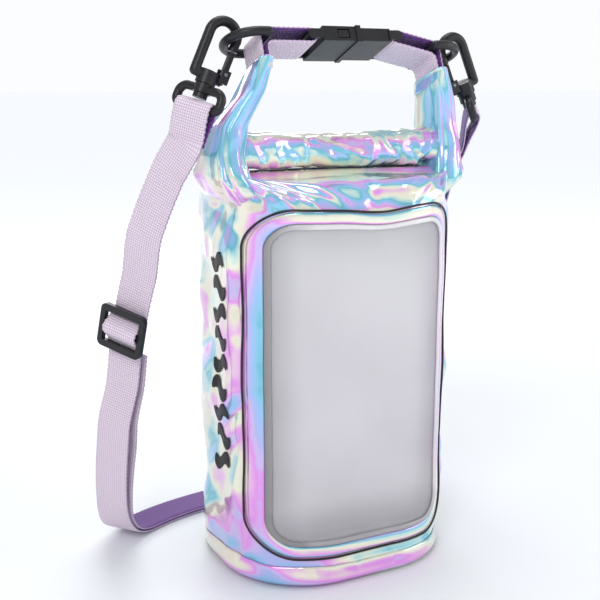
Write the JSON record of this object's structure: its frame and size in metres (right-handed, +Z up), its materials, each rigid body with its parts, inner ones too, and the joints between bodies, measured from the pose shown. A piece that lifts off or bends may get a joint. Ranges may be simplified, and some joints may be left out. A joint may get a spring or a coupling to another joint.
{
  "type": "dry bag",
  "caption": "Roll-top dry bag of glossy film with a clear phone window, a buckled carrying handle, D-rings and a webbing shoulder strap on swivel hooks.",
  "frame": {"origin": "centre of the base on the floor", "axes": "+Z up from the base to the handle, the window faces -Y, +X to the right of someone who looks at the window"},
  "size_m": [0.2045, 0.1378, 0.2716],
  "materials": {
    "iridescent_film": "glossy pearl film that turns blue, mint, lilac and pink",
    "clear_film": "clear glossy film",
    "piping": "black piping",
    "stiffener": "plain strip",
    "webbing": "woven lilac webbing",
    "moulded_plastic": "satin black acetal",
    "pin_metal": "dark steel pin"
  },
  "bodies": {
    "bag": {"body_tube": "iridescent_film", "base_panel": "iridescent_film", "base_weld_band": "iridescent_film", "rear_seam": "iridescent_film", "window_frame": "iridescent_film", "window_weld_bead": "clear_film", "window_film": "clear_film", "phone_sleeve": "clear_film", "pocket_piping": "piping", "rolled_closure": "iridescent_film", "roll_inner_turn": "iridescent_film", "closure_stiffener_lower": "stiffener", "closure_stiffener_upper": "stiffener", "left_ear": "iridescent_film", "right_ear": "iridescent_film", "left_tab_webbing": "webbing", "right_tab_webbing": "webbing", "buckle_socket": "moulded_plastic"},
    "left_ring": {"left_d_ring": "moulded_plastic"},
    "right_ring": {"right_d_ring": "moulded_plastic"},
    "plug": {"buckle_plug": "moulded_plastic"},
    "prong_front": {"buckle_prong_front": "moulded_plastic"},
    "prong_rear": {"buckle_prong_rear": "moulded_plastic"},
    "shoulder_strap": {"left_hook_body": "moulded_plastic", "right_hook_body": "moulded_plastic", "left_gate_pin": "pin_metal", "right_gate_pin": "pin_metal", "strap_left_end": "webbing", "strap_main": "webbing", "strap_return": "webbing"},
    "left_gate": {"left_hook_gate": "moulded_plastic"},
    "right_gate": {"right_hook_gate": "moulded_plastic"},
    "left_eye": {"left_swivel_eye": "moulded_plastic"},
    "right_eye": {"right_swivel_eye": "moulded_plastic"},
    "slider": {"strap_slider": "moulded_plastic"}
  },
  "joints": [
    {"name": "buckle_release", "type": "slide", "parent": "bag", "child": "plug", "axis": [1, 0, 0], "range_m": [0, 0.013], "deforming": ["right_tab_webbing", "buckle_prong_front", "buckle_prong_rear"]},
    {"name": "prong_front_press", "type": "hinge", "parent": "plug", "child": "prong_front", "pos_m": [0.00715, -0.02197, 0.26322], "axis": [0, -0.3746, -0.9272], "range_deg": [0, 10], "stiffness_Nm_per_rad": 0.01},
    {"name": "prong_rear_press", "type": "hinge", "parent": "plug", "child": "prong_rear", "pos_m": [0.00715, -0.00603, 0.25678], "axis": [0, 0.3746, 0.9272], "range_deg": [0, 10], "stiffness_Nm_per_rad": 0.01},
    {"name": "left_ring_tilt", "type": "hinge", "parent": "bag", "child": "left_ring", "pos_m": [-0.041, -0.014, 0.26], "axis": [0, -0.9272, 0.3746], "range_deg": [-8, 0]},
    {"name": "right_ring_tilt", "type": "hinge", "parent": "bag", "child": "right_ring", "pos_m": [0.048, -0.01587, 0.25536], "axis": [0, 0.9272, -0.3746], "range_deg": [-8, 0]},
    {"name": "strap_swing", "type": "hinge", "parent": "bag", "child": "shoulder_strap", "pos_m": [-0.0575, -0.014, 0.26], "axis": [0.9992, -0.0153, -0.038], "range_deg": [0, 12]},
    {"name": "left_gate_press", "type": "hinge", "parent": "shoulder_strap", "child": "left_gate", "pos_m": [-0.05864, -0.014, 0.2454], "axis": [0, -1, 0], "range_deg": [0, 28], "stiffness_Nm_per_rad": 0.004, "springref_deg": -11.46},
    {"name": "right_gate_press", "type": "hinge", "parent": "shoulder_strap", "child": "right_gate", "pos_m": [0.06564, -0.01587, 0.24076], "axis": [0, 1, 0], "range_deg": [0, 28], "stiffness_Nm_per_rad": 0.004, "springref_deg": -11.46},
    {"name": "left_swivel", "type": "hinge", "parent": "shoulder_strap", "child": "left_eye", "pos_m": [-0.06704, -0.014, 0.24323], "axis": [0.4067, 0, 0.9135], "range_deg": [-35, 15], "deforming": ["strap_left_end"]},
    {"name": "right_swivel", "type": "hinge", "parent": "shoulder_strap", "child": "right_eye", "pos_m": [0.07404, -0.01587, 0.2386], "axis": [-0.4067, 0, 0.9135], "range_deg": [-35, 35], "deforming": ["strap_main", "strap_return"]},
    {"name": "slider_slide", "type": "slide", "parent": "shoulder_strap", "child": "slider", "axis": [-0.1227, 0.1847, -0.9751], "range_m": [-0.02, 0.02], "deforming": ["strap_left_end", "strap_main"]}
  ],
  "couplings": [
    {"joint": "prong_rear_press", "follows": "prong_front_press", "ratio": 1}
  ]
}
